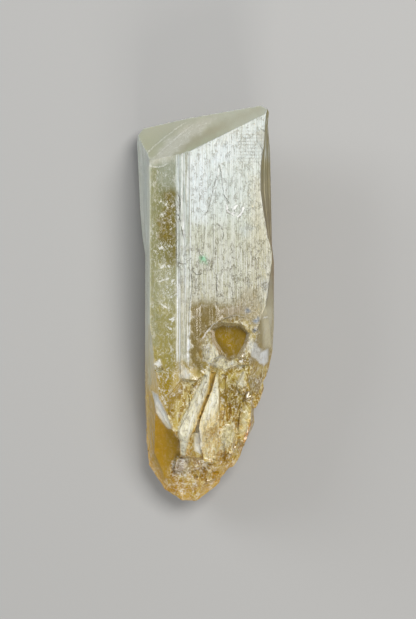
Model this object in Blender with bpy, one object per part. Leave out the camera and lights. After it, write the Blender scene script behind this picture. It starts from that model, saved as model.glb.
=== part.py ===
"""Danburite crystal: one loose, wedge-tipped prism that lies on its broad back face.

The model is in metres with +Z up. The crystal's long axis runs along Y, with the wedge-shaped
termination towards +Y and the broken root towards -Y. The origin is on the resting face, under
the middle of the crystal's bounding box. The shape values below are in millimetres, measured
from the middle of the crystal's length and width and up from the resting face.
"""

import math
import random

import bmesh
import bpy
from mathutils import Vector, noise
from mathutils.bvhtree import BVHTree

MM = 0.001

# ---------------------------------------------------------------- driving dimensions, mm
LENGTH = 60.0  # tip of the wedge to the end of the root, before its corners were blunted
CREST_HEIGHT = 14.95  # resting face to the crest between the two upper prism faces
CREST_X = -2.3  # the crest's place across the width
SHOULDER_X = -4.4  # where the narrow upper face meets the bundle of growth steps
BROAD_FALL = 0.12  # how far the broad face drops for each millimetre to the right
NARROW_FALL = 0.365  # the same for the narrow face, to the left
NARROW_LEFT_X = -8.35  # left end of the narrow face
LEFT_EDGE_Z = 4.2  # height of the widest line on the left side
RIGHT_EDGE_Z = 8.0  # height of the widest line on the right side
SHOULDER_DROP = 0.62  # the shoulder lies this far under the crest
LEFT_UNDERCUT = (1.3, 1.9)  # (in from the left edge, height) where the underside bends
RIGHT_UNDERCUT = (0.9, 3.3)  # the same on the right
FOOT_LEFT_X = -5.4  # the resting face's two long edges
FOOT_RIGHT_X = 5.8
STATION_GAP = 3.0  # spacing of the sections along the prism
END_Y = LENGTH / 2 + 1.5  # the uncut prism runs this far past the middle each way

# Long edges of the prism as (y, x) points, joined by straight lines.
LEFT_EDGE = (
    (END_Y, -10.1), (27.1, -10.2), (24.5, -10.5), (18.9, -10.2), (14.3, -10.0),
    (10.5, -9.7), (7.4, -9.25), (-14.0, -9.25), (-END_Y, -8.8),
)
RIGHT_EDGE = (
    (END_Y, 9.9), (28.8, 9.9), (26.7, 9.45), (23.2, 9.75), (8.8, 10.05),
    (6.3, 10.35), (-5.5, 10.35), (-END_Y, 9.9),
)
BROAD_FACE_EDGE = (
    (END_Y, 9.3), (24.5, 8.7), (20.0, 8.2), (16.8, 8.2), (13.9, 8.6),
    (10.2, 9.2), (7.9, 9.85), (-END_Y, 10.0),
)

# Growth steps along the crest: (x, height under the crest).
CREST_BUNDLE = ((-3.95, 0.42), (-3.65, 0.12), (-3.25, 0.34), (-2.85, 0.08), (-2.6, 0.2))

# Fine growth steps on each prism face: (name, how many, depth in mm).
STEPS = {
    "broad": (8, 0.10),
    "narrow": (3, 0.05),
    "left": (5, 0.12),
    "right": (4, 0.12),
    "under_left": (4, 0.12),
    "under_right": (5, 0.14),
}
STEP_RISER = (0.006, 0.012)  # a step's slope takes this share of its face's width
STEP_DRIFT = 0.09  # how fast the steps' depth changes along the crystal

# ---------------------------------------------------------------- termination, mm
WEDGE_FRONT = (Vector((-3.2, 22.2, 14.9)), Vector((-0.636, 1.5, 1.0)))
WEDGE_FRONT_LEFT = (Vector((-2.6, 28.3, 6.13)), Vector((-0.38, 0.79, 0.48)))
WEDGE_BACK = (Vector((2.0, 20.5, 0.0)), Vector((0.20, 0.69, -0.695)))
TIP_CORNER = (Vector((9.05, 29.15, 11.0)), Vector((0.60, 0.80, -0.05)))
TIP_LEFT_CORNER = (Vector((-10.35, 26.4, 4.0)), Vector((-0.80, 0.55, 0.10)))

# ---------------------------------------------------------------- broken root, mm
# Outline of the root seen from above, from the right side round to the left side. Each stretch is
# broken along two planes that meet at a height: (x, y, height, lean above, lean below).
ROOT_OUTLINE = (
    (10.35, -5.4, 7.0, 0.30, 0.25),
    (9.55, -11.6, 6.4, 0.42, 0.35),
    (8.0, -16.2, 6.0, 0.26, 0.55),
    (6.3, -20.7, 5.6, 0.50, 0.30),
    (4.85, -25.0, 5.4, 0.62, 0.50),
    (2.5, -27.1, 5.2, 0.85, 0.42),
    (-1.4, -30.1, 5.0, 0.70, 0.65),
    (-3.6, -30.0, 5.0, 0.95, 0.45),
    (-6.2, -28.3, 5.0, 0.60, 0.55),
    (-8.6, -24.6, 5.0, 0.35, 0.50),
    (-9.25, -19.0, 5.0, 0.0, 0.0),
)

# Flakes broken out of the upper side: (name, outline seen from above, floor, lean). The floor is
# (height at the outline's middle, rise along x, rise along y); lean is how far the walls spread
# for each millimetre up.
FLAKES = (
    ("root_slope", ((2.1, -10.2), (5.0, -9.3), (8.4, -9.2), (12.0, -9.8), (12.0, -32.0),
                    (1.0, -32.0), (1.6, -23.6), (2.15, -18.8), (2.3, -14.4)),
     (10.9, -0.30, 0.13), 0.15),
    ("root_end", ((-3.7, -23.2), (1.3, -23.9), (4.0, -23.0), (4.0, -33.0), (-8.0, -33.0),
                  (-5.5, -25.6)),
     (7.2, 0.12, 0.62), 0.25),
    ("root_left", ((-10.5, -12.4), (-8.4, -13.4), (-5.6, -18.3), (-3.9, -20.6), (-3.9, -23.2),
                   (-5.4, -25.6), (-6.0, -32.0), (-12.0, -32.0)),
     (8.4, 0.22, 0.42), 0.05),
    ("beside_splinter", ((-0.1, -10.6), (0.2, -11.4), (-1.5, -14.3), (-3.0, -16.9),
                         (-3.9, -18.6), (-4.1, -20.2), (-5.6, -18.2), (-5.3, -13.6),
                         (-3.4, -11.4), (-1.4, -11.6)),
     (13.45, 0.10, -0.03), 0.2),
    ("splinter_top", ((0.4, -9.6), (1.0, -10.4), (0.6, -13.1), (-0.6, -16.4), (-1.2, -19.6),
                      (-2.0, -22.6), (-3.6, -24.0), (-4.1, -21.0), (-3.9, -18.4),
                      (-1.9, -14.4)),
     (13.75, -0.42, 0.15), 0.0),
    ("between_splinters", ((0.9, -10.2), (1.6, -10.3), (0.9, -12.9), (0.0, -15.1), (-0.8, -17.4),
                           (-1.0, -19.2), (-1.8, -19.4), (-1.0, -17.3), (-0.3, -15.1),
                           (0.5, -13.2)),
     (12.4, 0.1, 0.1), 0.0),
    ("splinter_notch", ((-1.0, -18.8), (-0.8, -21.1), (-0.4, -23.8), (-3.2, -23.8),
                        (-2.6, -21.1), (-1.8, -19.3)),
     (11.9, 0.25, 0.3), 0.1),
    ("rim_left", ((-0.6, -6.4), (0.2, -4.2), (2.3, -3.0), (2.9, -5.2), (2.0, -7.6), (1.2, -9.0),
                  (-0.2, -8.2)),
     (13.85, 0.22, -0.1), 0.6),
    ("rim_top", ((1.9, -3.1), (4.4, -1.7), (6.6, -2.2), (6.4, -4.2), (3.6, -4.4)),
     (13.7, -0.05, 0.2), 0.8),
    ("rim_right", ((6.2, -3.4), (8.2, -4.6), (8.5, -6.6), (9.2, -9.5), (6.6, -9.4), (5.4, -6.6)),
     (13.1, -0.3, 0.12), 0.5),
    ("rim_below", ((1.4, -8.3), (3.6, -7.9), (6.4, -8.6), (6.2, -9.9), (3.2, -10.4),
                   (1.2, -10.0)),
     (13.1, -0.1, 0.35), 0.5),
    ("tip_notch", ((7.8, 26.3), (9.0, 25.4), (10.6, 24.0), (8.7, 22.8), (7.6, 24.3)),
     (13.15, -0.45, 0.1), 0.3),
    ("left_scar", ((-8.9, -13.6), (-7.6, -13.9), (-6.2, -16.4), (-5.2, -18.7), (-6.4, -18.9),
                   (-7.6, -17.0)),
     (11.7, 0.35, 0.12), 0.3),
    ("left_dent", ((-7.9, -8.4), (-7.0, -8.6), (-6.3, -9.9), (-7.4, -10.1), (-8.2, -9.9)),
     (12.85, 0.45, 0.30), 0.4),
)

# The pit in the broad face.
PIT_OUTLINE = (
    (1.3, -4.1), (2.5, -3.4), (5.0, -3.5), (6.1, -4.6), (5.6, -6.2), (4.7, -7.7),
    (3.6, -8.2), (2.5, -7.0), (1.5, -5.5),
)
PIT_FLOOR = (11.9, 0.12, -0.10)
PIT_LEAN = 0.32

# Splinters left standing on the root: (name, outline seen from above, top, spread of the foot).
# The top is (height at the outline's middle, rise along x, rise along y).
SPLINTERS = (
    ("broad_splinter", ((1.6, -11.0), (2.0, -12.6), (2.1, -16.0), (2.0, -19.6), (1.5, -22.0),
                        (0.9, -23.8), (-0.2, -23.6), (-0.7, -21.1), (-0.85, -18.6),
                        (-0.2, -16.2), (0.7, -13.4)),
     (13.0, -0.22, 0.19), 0.05),
    ("small_splinter", ((5.9, -10.0), (4.6, -12.4), (5.4, -13.6), (6.8, -12.8)),
     (12.35, 0.10, 0.10), 0.10),
    ("flat_splinter", ((2.9, -18.9), (4.3, -17.6), (4.9, -20.0), (4.0, -22.4), (2.9, -22.6)),
     (11.1, 0.22, 0.12), 0.15),
    ("edge_splinter", ((5.6, -14.8), (6.9, -14.0), (6.8, -17.4), (5.9, -20.6), (5.0, -20.2),
                       (5.2, -17.2)),
     (10.9, -0.25, 0.10), 0.20),
    ("left_end_shard", ((-4.3, -23.5), (-3.3, -23.3), (-2.6, -24.4), (-3.4, -25.3),
                        (-4.7, -25.2)),
     (8.9, -0.05, 0.55), 0.30),
    ("middle_end_shard", ((-1.7, -23.4), (-0.9, -23.2), (-0.5, -24.8), (-1.5, -25.6)),
     (9.2, 0.10, 0.50), 0.30),
    ("right_end_shard", ((0.4, -24.6), (1.4, -24.2), (1.2, -26.2), (0.2, -27.0)),
     (8.7, 0.15, 0.50), 0.30),
)

# Chips broken out all round the root, from a fixed seed. Angles go round the crystal's long axis,
# from its right side (0) over the top (90) to its left side (180).
CHIP_SEED = 7
CHIP_ZONES = (
    # (how many, y range, angle range, slant to the root, lengths, widths, depths)
    (24, (-22.5, -10.5), (20.0, 78.0), 0.1, (1.6, 4.8), (0.5, 1.3), (0.18, 0.50)),
    (14, (-26.0, -21.5), (30.0, 160.0), 0.5, (0.9, 2.4), (0.6, 1.5), (0.20, 0.50)),
    (5, (-22.0, -12.0), (92.0, 118.0), 0.0, (1.0, 2.6), (0.3, 0.7), (0.15, 0.35)),
    (18, (-25.5, -8.5), (-62.0, 18.0), 0.2, (1.8, 5.5), (1.0, 2.6), (0.25, 0.75)),
    (16, (-26.0, -15.0), (192.0, 245.0), 0.2, (1.8, 5.0), (1.0, 2.4), (0.25, 0.70)),
    (14, (-20.0, -14.0), (230.0, 310.0), 1.6, (1.0, 3.0), (0.8, 2.6), (0.20, 0.60)),
    (6, (-8.0, 22.0), (-48.0, -8.0), 0.0, (2.0, 4.5), (0.5, 1.1), (0.15, 0.35)),
    (6, (-12.0, 22.0), (202.0, 224.0), 0.0, (2.0, 4.5), (0.5, 1.1), (0.15, 0.35)),
)
CHIP_CORNERS = ((-1.0, -0.5), (-0.4, -1.0), (0.7, -0.8), (1.0, 0.2), (0.3, 1.0), (-0.8, 0.7))
CHIP_TURN = 0.30  # a chip's largest turn away from the long axis
CHIP_TILT = 0.8  # how much deeper a chip may be at one end or side
CHIP_FLARE = (1.1, 1.9)  # how much wider a chip's cutter is at its top
CHIP_TOP = 2.5  # height of a chip's cutter over the surface
LOWEST_CHIP = 0.9  # no chip nearer to the resting face than this
AXIS_HEIGHT = 7.0  # height of the crystal's long axis
CUTTER_TOP = 20.0  # flakes are cut up to this height, past the crystal
SPLINTER_FOOT = 6.0  # splinters start at this height, inside the crystal


def clear_scene():
    """Removes what the file starts with."""
    for old in list(bpy.data.objects):
        bpy.data.objects.remove(old, do_unlink=True)


def along(edge, y):
    """The x of a long edge at y, by straight lines between its (y, x) points."""
    points = sorted(edge)
    for (y0, x0), (y1, x1) in zip(points, points[1:]):
        if y0 <= y <= y1:
            return x0 + (x1 - x0) * (y - y0) / (y1 - y0)
    raise ValueError(f"y {y} is past the edge's ends")


def stepped(face, start, end, y):
    """The points of one prism face's section between two corners, with its growth steps."""
    count, depth = STEPS[face]
    run = Vector(end) - Vector(start)
    inward = Vector((run.y, -run.x)).normalized()
    dice = random.Random(face)
    points = []
    for i in range(count):
        place = (i + dice.uniform(0.6, 1.4)) / (count + 1)
        riser = dice.uniform(*STEP_RISER)
        wander = 0.65 + 0.7 * noise.noise(Vector((i * 3.7, count * 5.1, y * STEP_DRIFT)))
        low, high = sorted((dice.uniform(0.0, 0.4), dice.uniform(0.6, 1.0)))
        if dice.random() < 0.5:
            low, high = high, low
        for share, level in ((place - riser, low), (place + riser, high)):
            points.append(Vector(start) + run * share + inward * depth * level * wander)
    return points


def section(y):
    """The prism's section at y as (x, z) points, from the left foot over the top to the right."""
    left_x = along(LEFT_EDGE, y)
    right_x = along(RIGHT_EDGE, y)
    broad_x = along(BROAD_FACE_EDGE, y)
    shoulder_z = CREST_HEIGHT - SHOULDER_DROP
    narrow_z = shoulder_z - NARROW_FALL * (SHOULDER_X - NARROW_LEFT_X)
    broad_z = CREST_HEIGHT - BROAD_FALL * (broad_x - CREST_X)
    foot_left, foot_right = (FOOT_LEFT_X, 0.0), (FOOT_RIGHT_X, 0.0)
    low_left = (left_x + LEFT_UNDERCUT[0], LEFT_UNDERCUT[1])
    low_right = (right_x - RIGHT_UNDERCUT[0], RIGHT_UNDERCUT[1])
    left, right = (left_x, LEFT_EDGE_Z), (right_x, RIGHT_EDGE_Z)
    narrow_left, shoulder = (NARROW_LEFT_X, narrow_z), (SHOULDER_X, shoulder_z)
    crest, broad_right = (CREST_X, CREST_HEIGHT), (broad_x, broad_z)
    return [
        foot_left,
        *stepped("under_left", foot_left, low_left, y),
        low_left,
        left,
        *stepped("left", left, narrow_left, y),
        narrow_left,
        *stepped("narrow", narrow_left, shoulder, y),
        shoulder,
        *((x, CREST_HEIGHT - drop) for x, drop in CREST_BUNDLE),
        crest,
        *stepped("broad", crest, broad_right, y),
        broad_right,
        *stepped("right", broad_right, right, y),
        right,
        low_right,
        *stepped("under_right", low_right, foot_right, y),
        foot_right,
    ]


def stations():
    """Where the prism's sections lie: at every bend of its long edges, and evenly between."""
    bends = {round(y, 3) for edge in (LEFT_EDGE, RIGHT_EDGE, BROAD_FACE_EDGE) for y, _ in edge}
    count = round(2 * END_Y / STATION_GAP)
    even = {round(-END_Y + 2 * END_Y * i / count, 3) for i in range(count + 1)}
    kept = sorted(bends)
    for y in sorted(even):
        if all(abs(y - other) > STATION_GAP / 3 for other in bends):
            kept.append(y)
    return sorted(kept)


def grow_prism(bm):
    """The uncut prism, as rings of points at each station with flat ends."""
    rings = []
    for y in stations():
        rings.append([bm.verts.new((x * MM, y * MM, z * MM)) for x, z in section(y)])
    for ring, following in zip(rings, rings[1:]):
        for i in range(len(ring)):
            j = (i + 1) % len(ring)
            bm.faces.new((ring[i], ring[j], following[j], following[i]))
    bm.faces.new(rings[0])
    bm.faces.new(rings[-1])
    bmesh.ops.recalc_face_normals(bm, faces=bm.faces)


def slice_off(bm, point, normal):
    """Cuts the solid along a plane, removes what is on the normal's side and closes the cut."""
    cut = bmesh.ops.bisect_plane(
        bm,
        geom=[*bm.verts, *bm.edges, *bm.faces],
        dist=1e-7,
        plane_co=Vector(point) * MM,
        plane_no=Vector(normal).normalized(),
        clear_outer=True,
    )
    edges = [g for g in cut["geom_cut"] if isinstance(g, bmesh.types.BMEdge)]
    if edges:
        bmesh.ops.edgeloop_fill(bm, edges=edges)
        bmesh.ops.recalc_face_normals(bm, faces=bm.faces)


def cut_termination(bm):
    """The wedge: two faces that meet in a ridge, a second facet in front, two blunt corners."""
    for plane in (WEDGE_FRONT, WEDGE_FRONT_LEFT, WEDGE_BACK, TIP_CORNER, TIP_LEFT_CORNER):
        slice_off(bm, *plane)


def break_root(bm):
    """The broken end: each stretch of its outline is sliced by a plane above and one below."""
    for (x0, y0, height, above, below), (x1, y1, *_) in zip(ROOT_OUTLINE, ROOT_OUTLINE[1:]):
        outward = Vector((y0 - y1, x1 - x0, 0.0)).normalized()
        for lean in (above, -below):
            slice_off(bm, (x0, y0, height), outward + Vector((0.0, 0.0, lean)))


def plane_height(plane, middle, point):
    """The height over a point of a plane given as (height at the middle, rise in x, in y)."""
    height, along_x, along_y = plane
    return height + along_x * (point[0] - middle[0]) + along_y * (point[1] - middle[1])


def middle_of(outline):
    """The mean of an outline's points."""
    return (
        sum(x for x, _ in outline) / len(outline),
        sum(y for _, y in outline) / len(outline),
    )


def spread(outline, middle, amount):
    """The outline with each point moved outwards from the middle by an amount in millimetres."""
    moved = []
    for x, y in outline:
        away = Vector((x - middle[0], y - middle[1]))
        away *= 1.0 + amount / away.length
        moved.append((middle[0] + away.x, middle[1] + away.y))
    return moved


def block(name, low, high):
    """A closed block between two rings of points, as a hidden helper object."""
    bm = bmesh.new()
    rings = [[bm.verts.new(Vector(p) * MM) for p in ring] for ring in (low, high)]
    for i in range(len(low)):
        j = (i + 1) % len(low)
        bm.faces.new((rings[0][i], rings[0][j], rings[1][j], rings[1][i]))
    bm.faces.new(rings[0])
    bm.faces.new(rings[1])
    bmesh.ops.recalc_face_normals(bm, faces=bm.faces)
    bmesh.ops.triangulate(bm, faces=bm.faces)
    mesh = bpy.data.meshes.new(name)
    bm.to_mesh(mesh)
    bm.free()
    helper = bpy.data.objects.new(name, mesh)
    helper.hide_render = True
    helper.display_type = "WIRE"
    return helper


def flake(name, outline, floor, lean):
    """A cutter over an outline, from its sloping floor up past the crystal."""
    middle = middle_of(outline)
    low = [(x, y, plane_height(floor, middle, (x, y))) for x, y in outline]
    wide = spread(outline, middle, lean * (CUTTER_TOP - floor[0]))
    return block(name, low, [(x, y, CUTTER_TOP) for x, y in wide])


def splinter(name, outline, top, foot_spread):
    """A slab that stands on the break, from inside the crystal up to its sloping top."""
    middle = middle_of(outline)
    wide = spread(outline, middle, foot_spread * (top[0] - SPLINTER_FOOT))
    low = [(x, y, SPLINTER_FOOT) for x, y in wide]
    return block(name, low, [(x, y, plane_height(top, middle, (x, y))) for x, y in outline])


def chip(name, dice, place, normal, size, depth):
    """A small cutter on a spot of the surface, deeper at one end and one side than the other."""
    along_axis = Vector((0.0, 1.0, 0.0))
    along_axis = (along_axis - normal * normal.y).normalized()
    across = normal.cross(along_axis)
    turn = dice.uniform(-CHIP_TURN, CHIP_TURN)
    along_axis, across = along_axis + across * turn, across - along_axis * turn
    pitch, roll = dice.uniform(-CHIP_TILT, CHIP_TILT), dice.uniform(-CHIP_TILT, CHIP_TILT)
    flare = dice.uniform(*CHIP_FLARE)
    low, high = [], []
    for a, b in CHIP_CORNERS:
        a, b = a + dice.uniform(-0.2, 0.2), b + dice.uniform(-0.2, 0.2)
        offset = along_axis * (a * size[0] / 2) + across * (b * size[1] / 2)
        low.append(place + offset - normal * depth * (1.0 + pitch * a + roll * b))
        high.append(place + offset * flare + normal * CHIP_TOP)
    return block(name, low, high)


def chips(crystal):
    """The cutters of all chips, each placed on the crystal's surface as it is so far."""
    surface = BVHTree.FromPolygons(
        [vertex.co / MM for vertex in crystal.data.vertices],
        [face.vertices for face in crystal.data.polygons],
    )
    dice = random.Random(CHIP_SEED)
    made = []
    for zone, (count, y_range, angles, slant, lengths, widths, depths) in enumerate(CHIP_ZONES):
        for i in range(count):
            angle = math.radians(dice.uniform(*angles))
            outward = Vector((math.cos(angle), -slant, math.sin(angle))).normalized()
            axis_point = Vector((0.0, dice.uniform(*y_range), AXIS_HEIGHT))
            place, normal, _, _ = surface.ray_cast(axis_point + outward * LENGTH, -outward)
            size = (dice.uniform(*lengths), dice.uniform(*widths))
            depth = dice.uniform(*depths)
            if place is None or place.z < LOWEST_CHIP:
                continue
            made.append(chip(f"chip_{zone}_{i}", dice, place, normal, size, depth))
    return made


def gather(name, helpers):
    """Puts helpers in a collection that no render shows."""
    group = bpy.data.collections.new(name)
    group.hide_render = True
    bpy.context.scene.collection.children.link(group)
    for helper in helpers:
        group.objects.link(helper)
    return group


def join_or_cut(target, operation, group):
    """Adds a Boolean of the target with every object of a collection."""
    change = target.modifiers.new(group.name, "BOOLEAN")
    change.operation = operation
    change.operand_type = "COLLECTION"
    change.collection = group
    change.solver = "EXACT"


def honey_crystal_material():
    """Clear honey-coloured crystal, slightly frosted."""
    material = bpy.data.materials.new("honey_crystal")
    material.use_nodes = True
    shader = material.node_tree.nodes["Principled BSDF"]
    shader.inputs["Base Color"].default_value = (0.80, 0.70, 0.42, 1.0)
    shader.inputs["Roughness"].default_value = 0.3
    shader.inputs["Metallic"].default_value = 0.0
    shader.inputs["IOR"].default_value = 1.63
    shader.inputs["Transmission Weight"].default_value = 0.8
    return material


def freeze(crystal):
    """Replaces the crystal's modifiers with their result."""
    bpy.context.view_layer.update()
    graph = bpy.context.evaluated_depsgraph_get()
    finished = bpy.data.meshes.new_from_object(crystal.evaluated_get(graph))
    crystal.modifiers.clear()
    crystal.data = finished


def settle(crystal):
    """Moves the crystal's mesh so that the middle of its box stands over the origin."""
    vertices = crystal.data.vertices
    xs, ys, zs = zip(*(vertex.co for vertex in vertices))
    middle = Vector(((min(xs) + max(xs)) / 2, (min(ys) + max(ys)) / 2, min(zs)))
    for vertex in vertices:
        vertex.co -= middle


def main():
    """Grows the prism, cuts its tip, breaks its root and settles it on the resting face."""
    clear_scene()
    bm = bmesh.new()
    grow_prism(bm)
    cut_termination(bm)
    break_root(bm)
    bmesh.ops.triangulate(bm, faces=bm.faces)
    mesh = bpy.data.meshes.new("danburite_crystal")
    bm.to_mesh(mesh)
    bm.free()
    crystal = bpy.data.objects.new("danburite_crystal", mesh)
    bpy.context.scene.collection.objects.link(crystal)

    flakes = [flake(*entry) for entry in FLAKES]
    join_or_cut(crystal, "DIFFERENCE", gather("flakes", flakes))
    slabs = [splinter(*entry) for entry in SPLINTERS]
    join_or_cut(crystal, "UNION", gather("splinters", slabs))
    pit = flake("pit", PIT_OUTLINE, PIT_FLOOR, PIT_LEAN)
    join_or_cut(crystal, "DIFFERENCE", gather("pit_hollow", [pit]))
    freeze(crystal)
    join_or_cut(crystal, "DIFFERENCE", gather("chips", chips(crystal)))
    freeze(crystal)
    settle(crystal)
    crystal.data.materials.clear()
    crystal.data.materials.append(honey_crystal_material())


main()
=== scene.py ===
"""The look of a honey-coloured danburite crystal, lying on its broad back face.

The crystal's long axis runs along Y: its wedge-shaped tip points to +Y and its broken root to -Y.
The narrow and the broad upper face meet in a bundle of growth steps left of the middle. Places and
sizes in this script are in millimetres, measured from the middle of the resting face, unless a
name or docstring says otherwise; the meshes themselves are in metres.
"""
import enum
import functools
import logging
import math
from dataclasses import dataclass
from typing import Any

import bmesh
import bpy
import numpy as np
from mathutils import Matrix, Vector


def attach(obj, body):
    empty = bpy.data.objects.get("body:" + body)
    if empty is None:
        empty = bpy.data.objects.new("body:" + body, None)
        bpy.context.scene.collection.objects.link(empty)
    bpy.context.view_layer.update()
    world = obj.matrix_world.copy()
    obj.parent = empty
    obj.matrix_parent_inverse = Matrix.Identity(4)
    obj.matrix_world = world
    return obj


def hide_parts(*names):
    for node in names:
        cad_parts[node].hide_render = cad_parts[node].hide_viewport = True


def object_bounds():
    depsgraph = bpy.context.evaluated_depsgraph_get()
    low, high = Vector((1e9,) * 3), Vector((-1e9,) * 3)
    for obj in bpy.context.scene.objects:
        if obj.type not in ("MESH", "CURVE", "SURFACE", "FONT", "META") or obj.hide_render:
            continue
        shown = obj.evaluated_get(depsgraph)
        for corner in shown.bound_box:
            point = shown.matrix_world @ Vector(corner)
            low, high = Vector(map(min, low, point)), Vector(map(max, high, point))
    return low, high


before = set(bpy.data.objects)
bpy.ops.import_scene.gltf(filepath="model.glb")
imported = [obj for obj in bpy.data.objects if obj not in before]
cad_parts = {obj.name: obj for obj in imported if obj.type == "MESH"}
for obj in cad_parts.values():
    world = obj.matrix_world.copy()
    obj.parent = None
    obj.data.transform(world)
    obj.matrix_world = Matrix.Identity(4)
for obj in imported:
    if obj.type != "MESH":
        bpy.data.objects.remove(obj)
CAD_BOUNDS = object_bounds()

MM = 0.001
TO_MM = (1.0 / MM,) * 3
FACET_SCALE = (0.90, 0.45, 0.90)  # broken facets for each millimetre
LOG = logging.getLogger("danburite")

Point = tuple[float, float]
Path = tuple[Point, ...]
Triple = tuple[float, float, float]
Array = np.ndarray


# ---------------------------------------------------------------- small tools

def srgb(colour: Triple) -> Triple:
    """Turns a display colour into linear light.

    Args:
        colour: Red, green and blue, each of 0 to 255.

    Returns:
        The linear colour, each of 0 to 1.
    """
    shares = (value / 255.0 for value in colour)
    return tuple(share / 12.92 if share <= 0.04045 else ((share + 0.055) / 1.055) ** 2.4
                 for share in shares)


def path(corners: str) -> Path:
    """A line or outline from its corners, written as "x y, x y"."""
    return tuple(tuple(float(number) for number in corner.split()) for corner in corners.split(","))


def disc(x: float, y: float, radius: float, sides: int = 8) -> Path:
    """A round outline."""
    turns = (math.tau * side / sides for side in range(sides))
    return tuple((x + radius * math.cos(turn), y + radius * math.sin(turn)) for turn in turns)


def smooth(low: float, high: float, value: Array) -> Array:
    """An S-shaped step of value from 0 at low to 1 at high."""
    share = np.clip((value - low) / (high - low), 0.0, 1.0)
    return share * share * (3.0 - 2.0 * share)


def segment_distances(points: Array, line: Path) -> tuple[Array, Array, Array]:
    """Measures points against the segments of a line.

    Args:
        points: The points, one (x, y) row each.
        line: The corners of the line.

    Returns:
        For each point and segment the distance, the side (+1 left, -1 right) and the share of the
        segment's length at the nearest place.
    """
    corners = np.asarray(line, float)
    start, run = corners[:-1], np.diff(corners, axis=0)
    away = points[:, None, :] - start[None]
    share = np.clip((away * run).sum(2) / (run * run).sum(1), 0.0, 1.0)
    gap = away - share[..., None] * run[None]
    side = np.sign(run[None, :, 0] * away[..., 1] - run[None, :, 1] * away[..., 0])
    return np.hypot(gap[..., 0], gap[..., 1]), side, share


def inside(points: Array, outline: Path, feather: float) -> Array:
    """How far inside an outline points are, with a soft edge.

    Args:
        points: The points, one (x, y) row each.
        outline: The corners of a closed outline.
        feather: Half the width of the soft edge.

    Returns:
        1 inside, 0 outside and 0.5 on the outline itself.
    """
    closed = (*outline, outline[0])
    distance = segment_distances(points, closed)[0].min(1)
    within = np.zeros(len(points), bool)
    for (x0, y0), (x1, y1) in zip(closed, closed[1:]):
        if y0 == y1:
            continue
        crosses = (points[:, 1] < y0) != (points[:, 1] < y1)
        at_x = x0 + (x1 - x0) * (points[:, 1] - y0) / (y1 - y0)
        within ^= crosses & (points[:, 0] < at_x)
    return smooth(-feather, feather, np.where(within, distance, -distance))


def read_vectors(items: Any, name: str) -> Array:
    """Reads one vector property of every item of a mesh.

    Args:
        items: The vertices, or another collection of a mesh.
        name: The property's name.

    Returns:
        The vectors, a row each.
    """
    values = np.empty(len(items) * 3)
    items.foreach_get(name, values)
    return values.reshape(-1, 3)


def place_object(name: str, data: Any) -> bpy.types.Object:
    """Puts a new object in the scene.

    Args:
        name: The object's name.
        data: Its mesh, light or camera.

    Returns:
        The object.
    """
    placed = bpy.data.objects.new(name, data)
    bpy.context.scene.collection.objects.link(placed)
    return placed


def evaluated_mesh(host: bpy.types.Object) -> bpy.types.Mesh:
    """Makes a mesh of what an object's modifiers make of it.

    Args:
        host: The object.

    Returns:
        The new mesh.
    """
    bpy.context.view_layer.update()
    graph = bpy.context.evaluated_depsgraph_get()
    return bpy.data.meshes.new_from_object(host.evaluated_get(graph))


# ---------------------------------------------------------------- node trees

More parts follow.
